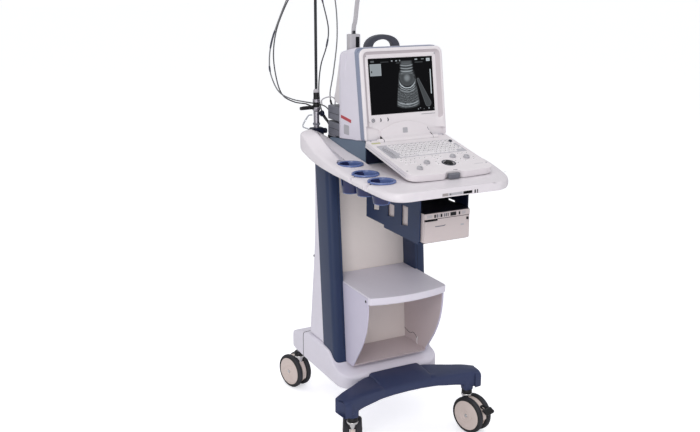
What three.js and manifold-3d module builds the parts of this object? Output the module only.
// Trolley-mounted ultrasound machine: a compact console with a hinged keyboard on a
// wheeled stand with probe cups, a video printer, a storage shelf and a cable pole.
// Millimetres, +Z up. The operator stands on the -Y side, so left is -X and rear is +Y.
// The origin is on the floor, below the centre of the overall box.
import * as THREE from 'three';
import { mergeVertices } from 'three/addons/utils/BufferGeometryUtils.js';
import Module from 'manifold-3d';

const wasm = await Module();
wasm.setup();

const { degToRad } = THREE.MathUtils;

// ---------------------------------------------------------------- driving dimensions
// Parts are laid out from the console's centre plane and the screen plane, then shifted
// to centre the overall box. Names in HALF are half widths.
const X_SHIFT = 25.975;
const Y_SHIFT = -90.125;

const FIT = 0.4;                 // clearance between neighbouring pieces
const WALL = 4;                  // thickness of the moulded covers

const WHEEL_RADIUS = 62.5;
const WHEEL_WIDTH = 21;
const WHEEL_OFFSET = 20;         // wheel centre from the caster's middle plane
const CASTER_TRAIL = 25;         // axle behind the swivel axis
const CASTER_TOP = 143;
const FRONT_CASTER = [216.5, -77];
const REAR_CASTER = [159.5, 462];

const BASE_HALF = 188;
const BASE_BOTTOM = 170;
const BASE_FRONT = 44.5;
const BASE_SEAM = 358;           // y of the joint between base cover and rear cover
const BASE_REAR = 487;
const SEAM_GAP = 0.35;

const COLUMN_LEAN = 0.085;       // rearward travel per unit of height
const POST_INNER = 138;
const POST_OUTER = 180;
const POST_DEPTH = 90;
const FOOT_PLATE_TOP = 200;
const POST_BOTTOM = FOOT_PLATE_TOP + FIT;
const POST_TOP = 898.4;
const PANEL_HALF = POST_INNER - FIT;
const postFront = (z) => 144 + COLUMN_LEAN * (z - 565);
const panelFront = (z) => postFront(z) + 80;

const SHELF_HALF = 141;
const SHELF_TOP = 510;
const SHELF_BOTTOM = 240;
const SHELF_SIDE = 5;            // side panel thickness
const SHELF_INNER_HALF = SHELF_HALF - SHELF_SIDE - FIT;

const DECK = 930;                // table deck height
const CUPS = [                   // name, x, y, rim height, bottom
  ['probe_cup_rear', -183, 3, 934.4, 848],
  ['probe_cup_middle', -197, -120, 930.4, 868],
  ['probe_cup_front', -201, -224, 930.4, 868],
];

const SCREEN_TILT = degToRad(8.8);    // screen leans back
const SCREEN_Z = 1077;                // lower edge of the glass
const KEY_TILT = degToRad(11.6);      // keyboard slopes down to the front
const HINGE = [0, -26, 1001];         // keyboard hinge line
const HINGE_RADIUS = 9.5;
const POLE = [-163, 283];

// ---------------------------------------------------------------- solids
const vec = (x, y, z) => new THREE.Vector3(x, y, z);

// A closed BufferGeometry turned into a solid, flipped if it is inside out.
function solid(geometry) {
  const bare = geometry.clone();
  bare.deleteAttribute('normal');
  bare.deleteAttribute('uv');
  const merged = mergeVertices(bare, 1e-4);
  const triVerts = new Uint32Array(merged.index.array);
  const vertProperties = new Float32Array(merged.attributes.position.array);
  const corner = (i) => vec(...vertProperties.slice(3 * triVerts[i], 3 * triVerts[i] + 3));
  let volume = 0;
  for (let i = 0; i < triVerts.length; i += 3) {
    volume += corner(i).dot(corner(i + 1).cross(corner(i + 2)));
  }
  if (volume < 0) {
    for (let i = 0; i < triVerts.length; i += 3) {
      [triVerts[i], triVerts[i + 1]] = [triVerts[i + 1], triVerts[i]];
    }
  }
  return new wasm.Manifold(new wasm.Mesh({ numProp: 3, vertProperties, triVerts }));
}
const add = (...parts) => parts.reduce((a, b) => a.add(b));
const cut = (body, ...tools) => tools.reduce((a, b) => a.subtract(b), body);
const place = (part, matrix) => part.transform([...matrix.elements]);
const bothSides = (right) => [right.mirror([1, 0, 0]), right];

const shapeOf = (points) => new THREE.Shape(points.map(([x, y]) => new THREE.Vector2(x, y)));

// A closed polygon extruded along an axis. Points: [x, y] for z, [x, z] for y, [y, z] for x.
function prism(points, from, to, axis = 'z') {
  const geometry = new THREE.ExtrudeGeometry(
    shapeOf(points),
    { depth: to - from, bevelEnabled: false, steps: 1 },
  );
  geometry.translate(0, 0, from);
  const turn = new THREE.Matrix4();
  if (axis === 'x') turn.set(0, 0, 1, 0, 1, 0, 0, 0, 0, 1, 0, 0, 0, 0, 0, 1);
  if (axis === 'y') turn.set(1, 0, 0, 0, 0, 0, 1, 0, 0, 1, 0, 0, 0, 0, 0, 1);
  geometry.applyMatrix4(turn);
  return solid(geometry);
}
const box = (x0, x1, y0, y1, z0, z1) => prism([[x0, y0], [x1, y0], [x1, y1], [x0, y1]], z0, z1);

// Cone or cylinder along an axis; from and to are measured from the centre.
function cone(axis, [x, y, z = 0], startRadius, endRadius, from, to, segments) {
  const geometry = new THREE.CylinderGeometry(endRadius, startRadius, to - from, segments, 1);
  geometry.translate(0, (from + to) / 2, 0);
  if (axis === 'z') geometry.rotateX(Math.PI / 2);
  if (axis === 'x') geometry.rotateZ(-Math.PI / 2);
  geometry.translate(x, y, z);
  return solid(geometry);
}
const rod = (axis, centre, radius, from, to, segments) => (
  cone(axis, centre, radius, radius, from, to, segments)
);

// A profile of [radius, y] revolved about the y axis.
const turned = (profile, segments) => (
  solid(new THREE.LatheGeometry(profile.map(([r, y]) => new THREE.Vector2(r, y)), segments))
);

// Rings of equal length joined into one closed skin, with a flat cap on each end.
function loft(rings) {
  const count = rings[0].length;
  const index = [];
  for (let i = 0; i + 1 < rings.length; i += 1) {
    for (let k = 0; k < count; k += 1) {
      const a = i * count + k;
      const b = i * count + ((k + 1) % count);
      index.push(a, b, a + count, b, b + count, a + count);
    }
  }
  const { area } = THREE.ShapeUtils;
  [0, rings.length - 1].forEach((i, end) => {
    // Triangulate the cap in the axis view where it looks largest.
    const views = [0, 1, 2].map((axis) => (
      rings[i].map((p) => new THREE.Vector2(p[(axis + 1) % 3], p[(axis + 2) % 3]))
    ));
    const flat = views.reduce((best, view) => (
      Math.abs(area(view)) > Math.abs(area(best)) ? view : best
    ));
    const sense = area(flat);
    THREE.ShapeUtils.triangulateShape(flat, []).forEach(([a, b, c]) => {
      const sameSense = area([flat[a], flat[b], flat[c]]) * sense > 0;
      const order = sameSense === (end === 1) ? [a, b, c] : [a, c, b];
      index.push(...order.map((k) => i * count + k));
    });
  });
  const geometry = new THREE.BufferGeometry();
  geometry.setAttribute('position', new THREE.Float32BufferAttribute(rings.flat(2), 3));
  geometry.setIndex(index);
  return solid(geometry);
}

// A shape swept along a smooth curve through the given points.
function sweep(shape, points, steps, curveType = 'centripetal') {
  const extrudePath = new THREE.CatmullRomCurve3(
    points.map((p) => vec(...p)), false, curveType, 0.5,
  );
  return solid(new THREE.ExtrudeGeometry(shape, { steps, bevelEnabled: false, extrudePath }));
}
// Polygon with 2 * divisions corners on a circle.
const roundShape = (radius, divisions) => (
  new THREE.Shape(new THREE.Path().absarc(0, 0, radius, 0, Math.PI * 2).getPoints(divisions))
);

// ---------------------------------------------------------------- outlines
function arc([cx, cy], radius, startDegrees, sweepDegrees, steps) {
  return Array.from({ length: steps + 1 }, (_, k) => {
    const angle = degToRad(startDegrees + (sweepDegrees * k) / steps);
    return [cx + radius * Math.cos(angle), cy + radius * Math.sin(angle)];
  });
}

// Rectangle with rounded corners: one radius, or four in order x0y0, x1y0, x1y1, x0y1.
function roundRect(x0, x1, y0, y1, radii, steps) {
  const corners = [[x0, y0, 1, 1], [x1, y0, -1, 1], [x1, y1, -1, -1], [x0, y1, 1, -1]];
  return corners.flatMap(([x, y, inX, inY], i) => {
    const radius = Array.isArray(radii) ? radii[i] : radii;
    if (radius === 0) return [[x, y]];
    return arc([x + inX * radius, y + inY * radius], radius, 180 + 90 * i, 90, steps);
  });
}

// Right half of an outline or ring, closed by its mirror image in x.
const symmetric = (right) => [...right, ...right.map(([x, ...rest]) => [-x, ...rest]).reverse()];

function interpolate(pairs, y) {
  if (y <= pairs[0][0]) return pairs[0][1];
  for (let i = 1; i < pairs.length; i += 1) {
    const [y0, z0] = pairs[i - 1];
    const [y1, z1] = pairs[i];
    if (y <= y1) return z0 + ((z1 - z0) * (y - y0)) / (y1 - y0);
  }
  return pairs[pairs.length - 1][1];
}

// ---------------------------------------------------------------- finishes and pieces
const finishes = {
  shell: { color: 0xded9e6, roughness: 0.45, metalness: 0 },
  bezel: { color: 0xe1dade, roughness: 0.45, metalness: 0 },
  band: { color: 0x6e7d9e, roughness: 0.3, metalness: 0.2 },
  slate: { color: 0x61758a, roughness: 0.5, metalness: 0 },
  navy: { color: 0x213152, roughness: 0.4, metalness: 0.1 },
  beam: { color: 0x303a5e, roughness: 0.35, metalness: 0.1 },
  cup: { color: 0x455c9e, roughness: 0.35, metalness: 0 },
  dark: { color: 0x23252e, roughness: 0.5, metalness: 0 },
  grey: { color: 0x54575e, roughness: 0.5, metalness: 0 },
  beige: { color: 0xb8b0ab, roughness: 0.6, metalness: 0 },
  side: { color: 0xc2bdcf, roughness: 0.5, metalness: 0 },
  taupe: { color: 0x807578, roughness: 0.6, metalness: 0 },
  printer: { color: 0xc9bfbf, roughness: 0.5, metalness: 0 },
  steel: { color: 0x9a9ca1, roughness: 0.35, metalness: 0.9 },
  wheel: { color: 0xccbab3, roughness: 0.5, metalness: 0 },
  screen: { color: 0x050608, roughness: 0.15, metalness: 0 },
  board: { color: 0x2f5a3c, roughness: 0.6, metalness: 0 },
};

const machine = new THREE.Group();

function piece(name, part, finish) {
  const { vertProperties, triVerts } = part.getMesh();
  const geometry = new THREE.BufferGeometry();
  geometry.setAttribute(
    'position',
    new THREE.BufferAttribute(new Float32Array(vertProperties), 3),
  );
  geometry.setIndex(new THREE.BufferAttribute(new Uint32Array(triVerts), 1));
  geometry.translate(X_SHIFT, Y_SHIFT, 0);
  const mesh = new THREE.Mesh(geometry, new THREE.MeshStandardMaterial(finishes[finish]));
  mesh.name = name;
  machine.add(mesh);
}

// The right-hand piece and its mirror image.
function piecePair(name, right, finish) {
  const [mirrored] = bothSides(right);
  piece(`${name}_left`, mirrored, finish);
  piece(`${name}_right`, right, finish);
}

// ---------------------------------------------------------------- base
// Right-hand column post, leaning back; grow enlarges its plan for a clearance opening.
function post(from, to, grow = 0) {
  const inner = POST_INNER - grow;
  const outer = POST_OUTER + grow;
  const plan = [
    [inner, -grow], [POST_OUTER - 14, -grow], [POST_OUTER - 4 + grow * 0.7, 4 - grow * 0.7],
    [outer, 14], [outer, POST_DEPTH + grow], [inner, POST_DEPTH + grow],
  ];
  return loft([from, to].map((z) => plan.map(([x, y]) => [x, y + postFront(z), z])));
}

// Base cover volume, or with an inset its cavity, which runs out at the bottom and the seam.
function baseBlock(inset) {
  const isCavity = inset > 0;
  const half = BASE_HALF - inset;
  const front = BASE_FRONT + inset;
  const seam = BASE_SEAM + (isCavity ? 2 : 0);
  const plan = prism(
    roundRect(-half, half, front, BASE_SEAM + (isCavity ? 1 : 0), [48 - inset, 48 - inset, 0, 0], 6),
    BASE_BOTTOM - (isCavity ? 2 : 0),
    300,
  );
  // [y, z]: low nose, rising to the column, falling to the rear.
  const side = prism([
    [front, BASE_BOTTOM - 3], [front, 203 - inset], [50 + inset, 213 - inset],
    [64, 220 - inset], [112, 232 - inset], [138, 256 - inset], [165, 272 - inset],
    [210, 274 - inset], [300, 272 - inset], [seam, 262 - inset], [seam, BASE_BOTTOM - 3],
  ], -200, 200, 'x');
  const cross = prism(symmetric([
    [half, BASE_BOTTOM - 4], [half, 250 - inset], [half - 5, 264 - inset], [half - 16, 275 - inset],
  ]), 0, 400, 'y');
  return plan.intersect(side).intersect(cross);
}
piece('base_cover', cut(
  baseBlock(0),
  baseBlock(WALL),
  box(-SHELF_HALF - 0.8, SHELF_HALF + 0.8, 44, 208, SHELF_BOTTOM - 4, 300), // storage box
  ...bothSides(post(190, 300, 0.6)),
  box(-142, 142, 40, 60, BASE_BOTTOM - 5, 199),                             // front opening
), 'shell');

const REAR_COVER_STATIONS = [    // distance behind the seam, narrowing per side, top z
  [0, 0.4, 261.5], [46, 1, 250], [84, 3, 238], [112, 9, 226], [BASE_REAR - BASE_SEAM, 26, 205],
];
function rearCoverBlock(inset) {
  const bottom = BASE_BOTTOM - (inset > 0 ? 3 : 0);
  const last = REAR_COVER_STATIONS.length - 1;
  return loft(REAR_COVER_STATIONS.map(([behind, narrowing, outerTop], i) => {
    const shift = (i === 0 ? -inset * 0.5 : 0) - (i === last ? inset : 0);
    const y = BASE_SEAM + SEAM_GAP + behind + shift;
    const half = BASE_HALF - narrowing - inset;
    const top = outerTop - inset;
    return symmetric([
      [half, y, bottom], [half, y, top - 14], [half - 6, y, top - 3], [half - 16, y, top],
    ]);
  }));
}
piece('base_rear_cover', cut(rearCoverBlock(0), rearCoverBlock(WALL)), 'shell');

// Welded chassis.
piece('chassis_frame', add(
  ...bothSides(box(104, 134, 42.9, 464, 176, 194)),                      // rails
  box(-134, 134, 44, 66, 176, 194),                                      // cross members
  box(-134, 134, 300, 326, 176, 194),
  box(-160, 160, 436, 466, 176, 190),                                    // caster mount
  ...bothSides(rod('z', REAR_CASTER, 9, CASTER_TOP + FIT, 184, 12)),     // caster pins
  box(-184, 184, 104, 226, 190, FOOT_PLATE_TOP),                         // column foot plate
), 'steel');

// Front leg beam: bowed in plan, with a raised tongue in the middle that meets the base cover.
const BEAM_END_REAR = [262, -47];     // right end face, rear and front edges
const BEAM_END_FRONT = [231, -105];
const BEAM_LEFT_STATIONS = [          // x / half length, front y, rear y, top z, bottom z
  [-1, BEAM_END_FRONT[1], BEAM_END_REAR[1], 207, 152],
  [-0.86, -97, -27, 211, 156], [-0.7, -84, -4, 210, 164], [-0.5, -72, 30, 207, 168],
  [-0.36, -64, 43.6, 206, 170], [-0.34, -63, 43.6, 216, 170], [0, -60, 43.6, 218, 172],
];
function beamRing([fraction, frontY, rearY, top, bottom]) {
  const isEnd = Math.abs(fraction) === 1;
  const isTongue = top > 213;
  const rearX = fraction * BEAM_END_REAR[0];
  const frontX = isEnd ? fraction * BEAM_END_FRONT[0] : rearX;
  const frontTop = isTongue ? 204 : top;
  const depthX = frontX - rearX;
  return [
    [rearX, rearY, isEnd ? bottom + 14 : bottom],
    [rearX, rearY, top - 5],
    [rearX + depthX * 0.06, rearY - 5, top],
    [(frontX + rearX) / 2, (frontY + rearY) / 2, isTongue ? top - 3 : top + 1],
    [frontX - depthX * 0.2, frontY + 16, frontTop - 1],
    [frontX - depthX * 0.07, frontY + 6, frontTop - 6],
    [frontX, frontY, frontTop - 18],
    [frontX, frontY, bottom + 4],
    [frontX - depthX * 0.06, frontY + 4, bottom],
  ];
}
const beamRightStations = BEAM_LEFT_STATIONS.slice(0, -1).reverse()
  .map(([fraction, ...rest]) => [-fraction, ...rest]);
piece('front_leg_beam', add(
  loft([...BEAM_LEFT_STATIONS, ...beamRightStations].map(beamRing)),
  ...bothSides(cone('z', FRONT_CASTER, 17.5, 18, CASTER_TOP + FIT, 176, 18)),
), 'beam');

function bumperCap() {
  const rear = vec(...BEAM_END_REAR, 184);
  const front = vec(...BEAM_END_FRONT, 184);
  const up = vec(0, 0, 1);
  const alongFace = rear.clone().sub(front).normalize();
  const frame = new THREE.Matrix4()
    .makeBasis(alongFace, up, alongFace.clone().cross(up))
    .setPosition(rear.add(front).multiplyScalar(0.5));
  return place(prism(roundRect(-25, 25, -17, 15, 6, 3), FIT, 5), frame);
}
piecePair('bumper_cap', bumperCap(), 'grey');

// ---------------------------------------------------------------- casters
// Hood, stem and axle in one body. At heading 0 the wheels trail towards -Y.
function casterFork() {
  const hood = [
    ...arc([-CASTER_TRAIL, WHEEL_RADIUS], 48, -20, 200, 8),
    [-CASTER_TRAIL - 30, 44], [-CASTER_TRAIL, 40], [-CASTER_TRAIL + 30, 44],
  ];
  return add(
    prism(hood, -7, 7, 'x'),
    box(-7, 7, -16, 16, 90, 128),
    rod('z', [0, 0], 17, 126, CASTER_TOP, 18),
    rod('x', [0, -CASTER_TRAIL, WHEEL_RADIUS], 6, -31, 31, 16),
  );
}
function casterWheel(side) {
  const bore = 6.35;
  const shoulder = 55;
  const half = WHEEL_WIDTH / 2;
  return turned([
    [bore, -half], [shoulder, -half], [WHEEL_RADIUS, -half + 6], [WHEEL_RADIUS, half - 6],
    [shoulder, half], [bore, half], [bore, -half],
  ], 22).rotate([0, 0, 90]).translate([side * WHEEL_OFFSET, -CASTER_TRAIL, WHEEL_RADIUS]);
}
// Neck between the wheels, then a pedal across both.
const casterBrake = () => add(
  box(-6.5, 6.5, -84, -61, 97, 103),
  prism([[-83, 93], [-104, 88], [-106, 92], [-90, 102], [-83, 102]], -20, 20, 'x'),
);
const CASTERS = [                // tag, side, position, heading in degrees, has a brake
  ['fl', -1, FRONT_CASTER, 153, true], ['fr', 1, FRONT_CASTER, 15, true],
  ['rl', -1, REAR_CASTER, 195, false], ['rr', 1, REAR_CASTER, 195, false],
];
CASTERS.forEach(([tag, side, [x, y], heading, hasBrake]) => {
  const frame = new THREE.Matrix4().makeRotationZ(degToRad(heading)).setPosition(side * x, y, 0);
  piece(`caster_${tag}_fork`, place(casterFork(), frame), 'dark');
  piece(`caster_${tag}_wheel_a`, place(casterWheel(-1), frame), 'wheel');
  piece(`caster_${tag}_wheel_b`, place(casterWheel(1), frame), 'wheel');
  if (hasBrake) piece(`caster_${tag}_brake`, place(casterBrake(), frame), 'dark');
});

// ---------------------------------------------------------------- column
piecePair('column_post', post(POST_BOTTOM, POST_TOP), 'navy');
piece('column_inner_panel', loft([POST_BOTTOM, POST_TOP].map((z) => {
  const front = panelFront(z);
  const rear = front + 6;
  return [
    [-PANEL_HALF, front, z], [PANEL_HALF, front, z], [PANEL_HALF, rear, z], [-PANEL_HALF, rear, z],
  ];
})), 'beige');

// Rear shell: deep at the foot, shallower towards the top, open at the front.
const COLUMN_SHELL_STATIONS = [  // z, rear y
  [274.6, 346], [330, 338], [420, 326], [566, 306], [714, 286], [POST_TOP, 274],
];
function columnShellRing([z, outerRear], inset) {
  const front = postFront(z) + POST_DEPTH + FIT - (inset > 0 ? 2 : 0);
  const half = 176 - inset;
  const rear = outerRear - inset;
  const round = Math.min(34, (outerRear - front) * 0.7);
  return symmetric([
    [half, front, z], [half, rear - round, z], [half - round * 0.12, rear - round * 0.5, z],
    [half - round * 0.5, rear - round * 0.12, z], [half - round, rear, z],
  ].map(([x, y]) => [x, y, z]));
}
// The cavity runs out at the foot and stops below the top.
const columnCavityStations = COLUMN_SHELL_STATIONS.map(([z, rear], i, all) => {
  if (i === 0) return [z - 1, rear];
  return [i === all.length - 1 ? z - 5 : z, rear];
});
piece('column_rear_shell', cut(
  loft(COLUMN_SHELL_STATIONS.map((station) => columnShellRing(station, 0))),
  loft(columnCavityStations.map((station) => columnShellRing(station, WALL))),
), 'shell');

// ---------------------------------------------------------------- storage box
const SHELF_SIDE_TOP = SHELF_TOP - FIT;
const shelfSide = [              // y, z: front edge from the top down, then the rear edge
  [-33, SHELF_SIDE_TOP], [-35, 474], [-31, 432], [-19, 384], [7, 329], [38, 283],
  [67, SHELF_BOTTOM],
  ...[SHELF_BOTTOM, SHELF_SIDE_TOP].map((z) => [postFront(z) - 0.5, z]),
];
piecePair('shelf_side', prism(shelfSide, SHELF_HALF - SHELF_SIDE, SHELF_HALF, 'x'), 'side');

const SHELF_FLOOR_TOP = SHELF_BOTTOM + 8;
piece('shelf_floor', prism([
  [66, SHELF_BOTTOM], [60, SHELF_FLOOR_TOP],
  [panelFront(SHELF_FLOOR_TOP) - 0.5, SHELF_FLOOR_TOP],
  [panelFront(SHELF_BOTTOM) - 0.5, SHELF_BOTTOM],
], -SHELF_INNER_HALF, SHELF_INNER_HALF, 'x'), 'taupe');

// Plate over the side panels and back between the posts, with a bowed, thick front lip.
const SHELF_BOW = [              // x, y
  [-139, -44], [-134, -50], [-100, -60], [-50, -68], [0, -71],
  [50, -68], [100, -60], [134, -50], [139, -44],
];
const shelfAtPosts = postFront(SHELF_TOP) - 0.6;
const shelfAtPanel = panelFront(SHELF_TOP) - 0.6;
piece('shelf_top', add(
  prism([
    [-SHELF_HALF, shelfAtPosts], [-SHELF_HALF, -34],
    ...SHELF_BOW,
    [SHELF_HALF, -34], [SHELF_HALF, shelfAtPosts],
    [SHELF_INNER_HALF, shelfAtPosts], [SHELF_INNER_HALF, shelfAtPanel],
    [-SHELF_INNER_HALF, shelfAtPanel], [-SHELF_INNER_HALF, shelfAtPosts],
  ], SHELF_TOP, SHELF_TOP + 5),
  prism([
    [-137, -36], ...SHELF_BOW, [137, -36], [134, -38], [0, -58], [-134, -38],
  ], 490, SHELF_TOP + 1),
), 'shell');

// ---------------------------------------------------------------- table
const TABLE_STATIONS = [
  // y, left x, right x, bottom, left shoulder, left crest, right shoulder, right crest
  [-372, -196, 92, 905, 927, 928, 927, 928],
  [-366, -226, 112, 904, 928, 930, 928, 930],
  [-350, -244, 138, 903, 928, 930, 928, 930],
  [-322, -253, 160, 903, 928, 930, 928, 930],
  [-280, -255, 184, 903, 928, 930, 928, 930],
  [-205, -253, 212, 903, 928, 930, 929, 931],
  [-130, -249, 232, 903, 928, 930, 933, 938],
  [-60, -246, 241, 904, 931, 933, 938, 947],
  [0, -245, 244, 905, 937, 939, 947, 958],
  [46, -244, 244, 907, 943, 948, 956, 968],
  [90, -244, 244, 910, 950, 962, 966, 982],
  [140, -243, 243, 915, 961, 982, 975, 996],
  [190, -242, 242, 924, 981, 1007, 989, 1012],
  [226, -240, 240, 932, 995, 1019, 998, 1022],
  [248, -235, 235, 938, 1000, 1022, 1002, 1025],
  [262, -222, 222, 944, 996, 1015, 998, 1018],
];
const SLOPE_FOOT = [             // y, z of the inner slopes' foot beside the console
  [-61, DECK], [-60, DECK + 1], [0, 941], [66, 948], [113, 953],
  [152, 959], [198, 966], [242, 974], [262, 977],
];
const LEFT_CREASE = [            // y, z of the crease below the left crest
  [-60, DECK + 0.5], [0, 938.5], [22, 942], [56, 948], [98, 957],
  [154, 969], [190, 985], [220, 1000], [262, 1003],
];
function tableRing(station) {
  const [y, left, right, bottom, leftShoulder, leftCrest, rightShoulder, rightCrest] = station;
  // 0 where the crest is level with the deck, 1 where it stands well above it.
  const rise = (crest) => (crest < DECK + 1 ? 0 : Math.min(1, (crest - DECK) / 20));
  const crease = (crest, z) => Math.min(crest - 2 * rise(crest) - 0.2 * (1 + rise(crest)), z);
  const foot = interpolate(SLOPE_FOOT, y);
  const leftCrease = crease(leftCrest, interpolate(LEFT_CREASE, y));
  const rightCrease = crease(rightCrest, foot + (rightCrest - foot) * 0.45);
  const edgeBottom = Math.min(bottom, 930);
  return [
    [left * 0.96, edgeBottom],
    [left, bottom + 8],
    [left, leftShoulder - 7],
    [left * 0.972, leftShoulder],
    [left * 0.84, leftCrest],
    [left * 0.84 + 6, leftCrest - 2 * rise(leftCrest)],
    [Math.max(-187, left * 0.8), leftCrease],
    [-137.8, foot],
    [-137, DECK],
    [Math.min(137, right * 0.8 - 5), DECK],
    [Math.min(137.8, right * 0.8 - 4), foot],
    [Math.min(187, right * 0.8 - 3), rightCrease],
    [right * 0.84 - 6, rightCrest - 2 * rise(rightCrest)],
    [right * 0.84, rightCrest],
    [right * 0.972, rightShoulder],
    [right, rightShoulder - 7],
    [right, bottom + 8],
    [right * 0.96, edgeBottom],
    [Math.min(150, right * 0.9), 905.4],
    [Math.max(-150, left * 0.9), 905.4],
  ].map(([x, z]) => [x, y, z]);
}
const [rearCup, ...slottedCups] = CUPS;
piece('table_top', cut(
  add(
    loft(TABLE_STATIONS.map(tableRing)),
    cone('z', [rearCup[1], rearCup[2]], 43, 42.4, 910, 934, 20),
    prism(roundRect(-198, 198, 240, 300, [0, 0, 24, 24], 4), 908, DECK),
  ),
  ...CUPS.map(([, x, y, rim]) => add(
    rod('z', [x, y], 35, 880, rim + 40, 20),
    rod('z', [x, y], 41.6, rim - FIT, rim + 60, 20),
  )),
  ...slottedCups.map(([, x, y]) => box(-290, x, y - 6, y + 6, 880, 960)),
), 'bezel');

piece('table_support', cut(
  add(box(-150, 150, -235, 274, 899, 905), box(-40, 40, -330, -234, 899, 905)),
  box(-60, 60, -200, 120, 890, 910),
), 'steel');

// Cups with a flanged rim and a slot in the left wall.
CUPS.forEach(([name, x, y, rim, bottom]) => {
  const cup = turned([
    [0, bottom], [24, bottom], [33.6, rim - 3], [33.6, rim], [41, rim], [41, rim + 3.6],
    [39, rim + 5], [32, rim + 5], [21.5, bottom + 3], [0, bottom + 3],
  ], 20).rotate([90, 0, 0]).translate([x, y, 0]);
  const slot = box(x - 60, x - 20, y - 5.4, y + 5.4, bottom + 22, rim + 30);
  piece(name, cut(cup, slot), 'cup');
});

// ---------------------------------------------------------------- printer and its brackets
const BRACKET_SLOTS = [          // front y, rear y, lower z, upper z
  [2, 40, 773, 800], [-92, -52, 773, 818], [-172, -134, 766, 832],
];
piecePair('printer_bracket', cut(
  add(
    box(79.5, 83.5, -238, 84, 742, 898.6),
    box(40, 83.5, -230, -30, 733.4, 737.2),
    box(79.5, 83.5, -230, -30, 733.4, 743),
  ),
  ...BRACKET_SLOTS.map(([y0, y1, z0, z1]) => (
    prism([[y0, z0 + 8], [y1, z0 + 2], [y1, z1], [y0, z1]], -90, 90, 'x')
  )),
), 'navy');

const PRINTER_HALF = 77;
const PRINTER_TOP = 828;
const printerFace = (outline) => prism(outline, -255, -250.4, 'y');
piece('printer_body', cut(
  box(-PRINTER_HALF, PRINTER_HALF, -250, -12, 740, PRINTER_TOP),
  box(-74, 74, -252, -110, 742.5, 826),
), 'printer');
piece('printer_panel', printerFace(
  roundRect(-PRINTER_HALF, PRINTER_HALF, 811, PRINTER_TOP, 1.5, 2),
), 'printer');
piece('printer_door', cut(
  printerFace(roundRect(-76.5, 76.5, 741, 810.2, 1.5, 2)),
  box(65.6, 72.4, -260, -240, 796.6, 804.4),
), 'printer');
piece('printer_button', add(
  box(66, 72, -257.6, -249.4, 797, 804),
  box(64, 73.4, -249.8, -247, 795, 806),
), 'dark');

// ---------------------------------------------------------------- console
// Bezel frame: x, up the screen, out of the screen.
const bezelFrame = new THREE.Matrix4().makeBasis(
  vec(1, 0, 0),
  vec(0, Math.sin(SCREEN_TILT), Math.cos(SCREEN_TILT)),
  vec(0, -Math.cos(SCREEN_TILT), Math.sin(SCREEN_TILT)),
).setPosition(0, 0, SCREEN_Z);
const onBezel = (part) => place(part, bezelFrame);

// Base block under the console.
piece('unit_base', prism([
  [-3, 930.5], [236, 930.5], [238, 978], [166, 984.4], [18, 1001.2], [-3, 1001.8],
], -137, 137, 'x'), 'slate');

// Rear shell: wide body with an overhanging hood at the back, open towards the trim band.
const bandFront = (z) => Math.tan(SCREEN_TILT) * (z - SCREEN_Z) + 14.6;
const bandRear = (z) => 13.6 + (z - 1003) * 0.165;
function unitBlock(half, rearHalf, sideOutline, roofCorner) {
  const plan = prism(symmetric([[half, 0], [half, 150], [rearHalf, 245]]), 960, 1300);
  const cross = prism(symmetric([[half, 980], ...roofCorner]), -20, 300, 'y');
  return prism(sideOutline, -half, half, 'x').intersect(plan).intersect(cross);
}
piece('unit_rear_shell', cut(
  unitBlock(141.5, 119.5, [
    [bandRear(1003) + FIT, 1002.4], [166, 985.4], [166, 1091.6], [236, 1091.6],
    [236, 1117], [158, 1258], [90, 1272], [bandRear(1277) + FIT, 1276],
  ], [[141.5, 1258], [134, 1270], [118, 1276]]),
  unitBlock(137.5, 114.5, [
    [-20, 1006.4], [162, 989.4], [162, 1095.6], [232, 1095.6],
    [232, 1115.5], [155, 1254], [90, 1268], [-20, 1272],
  ], [[137.5, 1255], [130, 1266], [116, 1272]]),
), 'shell');

// Trim band between the bezel and the rear shell; overrun lets the opening cut right through.
function bandBlock(inset, overrun) {
  const half = 142.5 - inset;
  const radii = [6, 6, 14, 14].map((radius) => radius - inset * 0.5);
  const outline = roundRect(-half, half, 1003.4 + inset, 1276 - inset, radii, 4);
  return loft([
    outline.map(([x, z]) => [x, bandFront(z) - overrun, z]),
    outline.map(([x, z]) => [x, bandRear(z) + overrun, z]),
  ]);
}
piece('unit_trim_band', cut(bandBlock(0, 0), bandBlock(WALL, 5)), 'band');

const POWER_BUTTON = [-108, -14];
piece('unit_front_bezel', onBezel(cut(
  prism(roundRect(-144, 144, -73, 200, [8, 8, 20, 20], 5), -14, 10),
  prism(roundRect(-134, 134, -90, 191, [0, 0, 12, 12], 4), 0, 30),       // recessed face
  prism(roundRect(-139, 139, -68, 195, [4, 4, 12, 12], 3), -30, -4),     // hollow back
  box(-114.7, 114.7, -0.2, 171.9, -30, 30),                              // screen opening
  prism([[-120, 1], [-62, 1], [-36, 12], [-120, 12]], -150, 150, 'x'),   // lower rim slope
  rod('z', POWER_BUTTON, 4.6, -30, 30, 12),
)), 'bezel');
piece('screen_panel', onBezel(add(
  box(-114.3, 114.3, 0.2, 171.5, -5, -2),
  box(-122, 122, -4, 180, -10, -4.4),
)), 'screen');
piece('main_board', add(
  box(-118, 118, 120, 124, 1020, 1230),
  box(-60, 60, 100, 121, 1060, 1160),
), 'board');
piece('power_button', onBezel(add(
  rod('z', POWER_BUTTON, 4.2, -8, 2.4, 12),
  rod('z', POWER_BUTTON, 6.5, -8, -5, 12),
)), 'grey');

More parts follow.
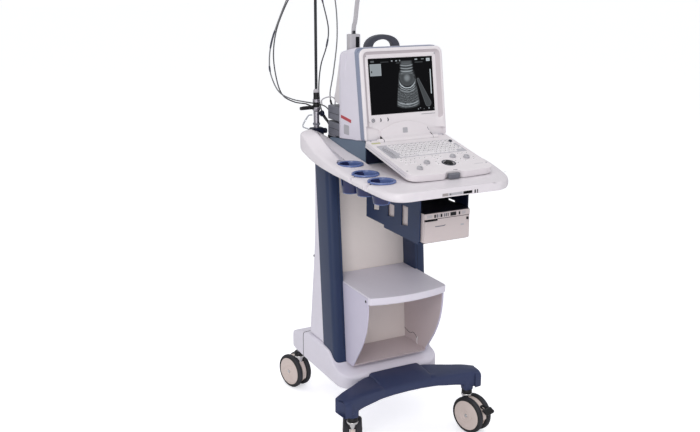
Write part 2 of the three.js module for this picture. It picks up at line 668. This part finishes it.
// Hinge cover: arched plate low on the bezel with the fixed hinge barrel in front.
const hingeArch = Array.from({ length: 11 }, (_, i) => (
  [-88 + 17.6 * i, -40 + 17 * Math.sin((Math.PI * (i + 0.4)) / 10.8)]
));
piece('hinge_cover', add(
  onBezel(prism([[-88, -86], [-88, -40], ...hingeArch, [88, -40], [88, -86]], FIT, 4.4)),
  onBezel(box(-86, 86, -87, -72, FIT, 12)),
  rod('x', HINGE, HINGE_RADIUS, -86, 86, 16),
), 'bezel');

// Everything below the roof line, cut from the parts that stand on the roof.
const belowRoof = prism([
  [0, 900], [300, 900], [300, 1246.4], [158, 1258.5], [90, 1272.5], [0, 1277],
], -200, 200, 'x');

// Carry handle: arch on the roof.
const handleArch = (half, height, steps) => Array.from({ length: steps + 1 }, (_, i) => {
  const angle = Math.PI * (1 - i / steps);
  return [half * Math.cos(angle), 1262 + height * Math.sin(angle) ** 0.7];
});
piece('carry_handle', cut(
  prism([...handleArch(62, 44, 10), ...handleArch(40, 30, 8).reverse()], 134, 156, 'y'),
  belowRoof,
), 'grey');

// ---------------------------------------------------------------- keyboard
// Key frame: x towards the left, from the hinge to the front, out of the keys.
const keyFrame = new THREE.Matrix4().makeBasis(
  vec(-1, 0, 0),
  vec(0, -Math.cos(KEY_TILT), -Math.sin(KEY_TILT)),
  vec(0, -Math.sin(KEY_TILT), Math.cos(KEY_TILT)),
).setPosition(...HINGE);
const onKeys = (part) => place(part, keyFrame);

const KEY_TOP = 3.1;
const KEY_BOTTOM = KEY_TOP - 19.8;
const TRACKBALL = [-20, 201];
const KNOB = [-96, 178];
const keyboardOutline = symmetric([
  [21, 258], [27, 267.5], [60, 266], [110, 262.5], [122, 260], [132, 255],
  [139, 246], [142, 236], [142, -10], [105, -10], [105, 11],
]);
piece('keyboard_housing', onKeys(cut(
  add(
    prism(keyboardOutline, KEY_BOTTOM, KEY_TOP),
    ...bothSides(rod('x', [0, 0], HINGE_RADIUS, 87, 105.5, 14)),         // hinge knuckles
  ),
  box(-87, 87, -20, 11, -30, 20),                                        // hinge barrel
  box(-130, 130, 34, 132, KEY_TOP - 2.4, KEY_TOP + 6),                   // keypad recess
  rod('z', TRACKBALL, 15.5, KEY_TOP - 22.6, 30, 20),
  rod('z', KNOB, 3.2, KEY_TOP - 12, 30, 10),
  box(-24, 24, 255, 270, KEY_BOTTOM - 1, KEY_TOP - 3),                   // latch
)), 'bezel');

// Keypad sheet with a raised block at one side and five raised rows.
const keyRows = Array.from({ length: 5 }, (_, i) => (
  box(-112 + i * 2, 100, 44 + i * 17, 57 + i * 17, KEY_TOP - 1, KEY_TOP + 2.6)
));
piece('keypad', onKeys(add(
  box(-129.6, 129.6, 34.4, 131.6, KEY_TOP - 2, KEY_TOP + 0.4),
  box(110, 124, 52, 124, KEY_TOP - 1, KEY_TOP + 2.2),
  ...keyRows,
)), 'bezel');

const ball = new THREE.SphereGeometry(14.6, 16, 10);
ball.translate(...TRACKBALL, KEY_TOP - 7);
piece('trackball', onKeys(solid(ball)), 'dark');
piece('gain_knob', onKeys(add(
  cone('z', KNOB, 9.5, 8.6, KEY_TOP + 0.5, KEY_TOP + 7, 18),
  rod('z', KNOB, 2.8, KEY_TOP - 10, KEY_TOP + 2, 10),
)), 'grey');
piece('keyboard_latch', onKeys(
  prism(symmetric([[20, 261], [19, 269], [12, 271.5]]), KEY_TOP - 17.5, KEY_TOP - 3.5),
), 'grey');

// ---------------------------------------------------------------- cable pole
const [poleX, poleY] = POLE;
piece('pole_tube', cut(
  add(
    rod('z', POLE, 10, 930.4, 1058, 20),
    box(poleX - 20, poleX + 20, poleY - 17, poleY + 14, 930.4, 950),
    box(poleX - 14, poleX + 14, poleY - 14, poleY + 14, 1012, 1034),
  ),
  rod('z', POLE, 5, 942, 1200, 16),
), 'steel');

// Upper rod stands in the tube and carries a double hook.
const HOOK_PATH = [[0, 1506], [30, 1507], [62, 1500], [78, 1508], [82, 1528]]; // reach, z
const hookArm = (side) => sweep(
  roundShape(3, 3),
  HOOK_PATH.map(([reach, z]) => [poleX + side * reach, poleY, z]),
  10,
);
piece('cable_pole', add(
  rod('z', POLE, 4.6, 944, 1512, 14),
  cone('z', POLE, 7, 5, 1506, 1520, 12),
  rod('z', POLE, 9, 1083, 1118, 16),
  hookArm(-1),
  hookArm(1),
), 'grey');
piece('pole_lock_lever', add(
  cut(rod('z', POLE, 14, 1058.4, 1082.6, 20), rod('z', POLE, 5.2, 1050, 1090, 16)),
  prism([
    [-12, -7], [-40, -6], [-58, -3], [-58, 3], [-40, 6], [-12, 7],
  ].map(([x, y]) => [poleX + x, poleY + y]), 1064, 1076),
), 'dark');

// ---------------------------------------------------------------- hanger arm on the roof
piece('hanger_arm_base', cut(
  prism(roundRect(-128, -92, 110, 138, 5, 3), 1264, 1312),
  belowRoof,
  box(-101, -90, 112, 136, 1284, 1306),
), 'shell');
piece('hanger_arm', add(
  sweep(shapeOf([[-3, -7], [3, -7], [3, 7], [-3, 7]]), [
    [-110, 124, 1312.4], [-109, 124, 1332], [-104, 124, 1352], [-97, 126, 1400],
    [-84, 128, 1480],
  ], 8),
  rod('z', [-110, 124], 6, 1312.4, 1322, 12),
), 'shell');

// ---------------------------------------------------------------- probe plugs
// Plug body at the rear of the console, joined to its cable, which loops over the pole.
function probePlug(name, bottom, top, cablePath) {
  piece(name, add(
    prism(roundRect(-137, -72, 167.2, 258, [3, 3, 10, 10], 2), bottom, top),
    sweep(roundShape(2.6, 2), cablePath, 40, 'catmullrom'),
  ), 'grey');
}
probePlug('probe_plug_upper', 1036, 1080, [
  [-110, 225, 1058], [-108, 262, 1062], [-112, 288, 1110], [-94, 296, 1180],
  [-80, 297, 1290], [-86, 296, 1400], [-112, 293, 1484], [-163, 293.5, 1514],
  [-214, 293, 1484], [-254, 300, 1410], [-304, 304, 1292], [-316, 304, 1215],
  [-306, 303, 1165], [-278, 300, 1118], [-226, 297, 1086], [-188, 306, 1060],
]);
probePlug('probe_plug_lower', 988, 1030, [
  [-124, 225, 1010], [-122, 270, 1016], [-134, 308, 1060], [-140, 312, 1125],
  [-132, 312, 1200], [-112, 311, 1260], [-106, 308, 1320], [-126, 310, 1408],
  [-146, 304, 1480], [-168, 302, 1506], [-200, 304, 1480], [-240, 318, 1410],
  [-279, 322, 1323], [-293, 322, 1242], [-285, 320, 1163], [-262, 318, 1107],
  [-222, 316, 1080], [-184, 318, 1040],
]);

export default machine;
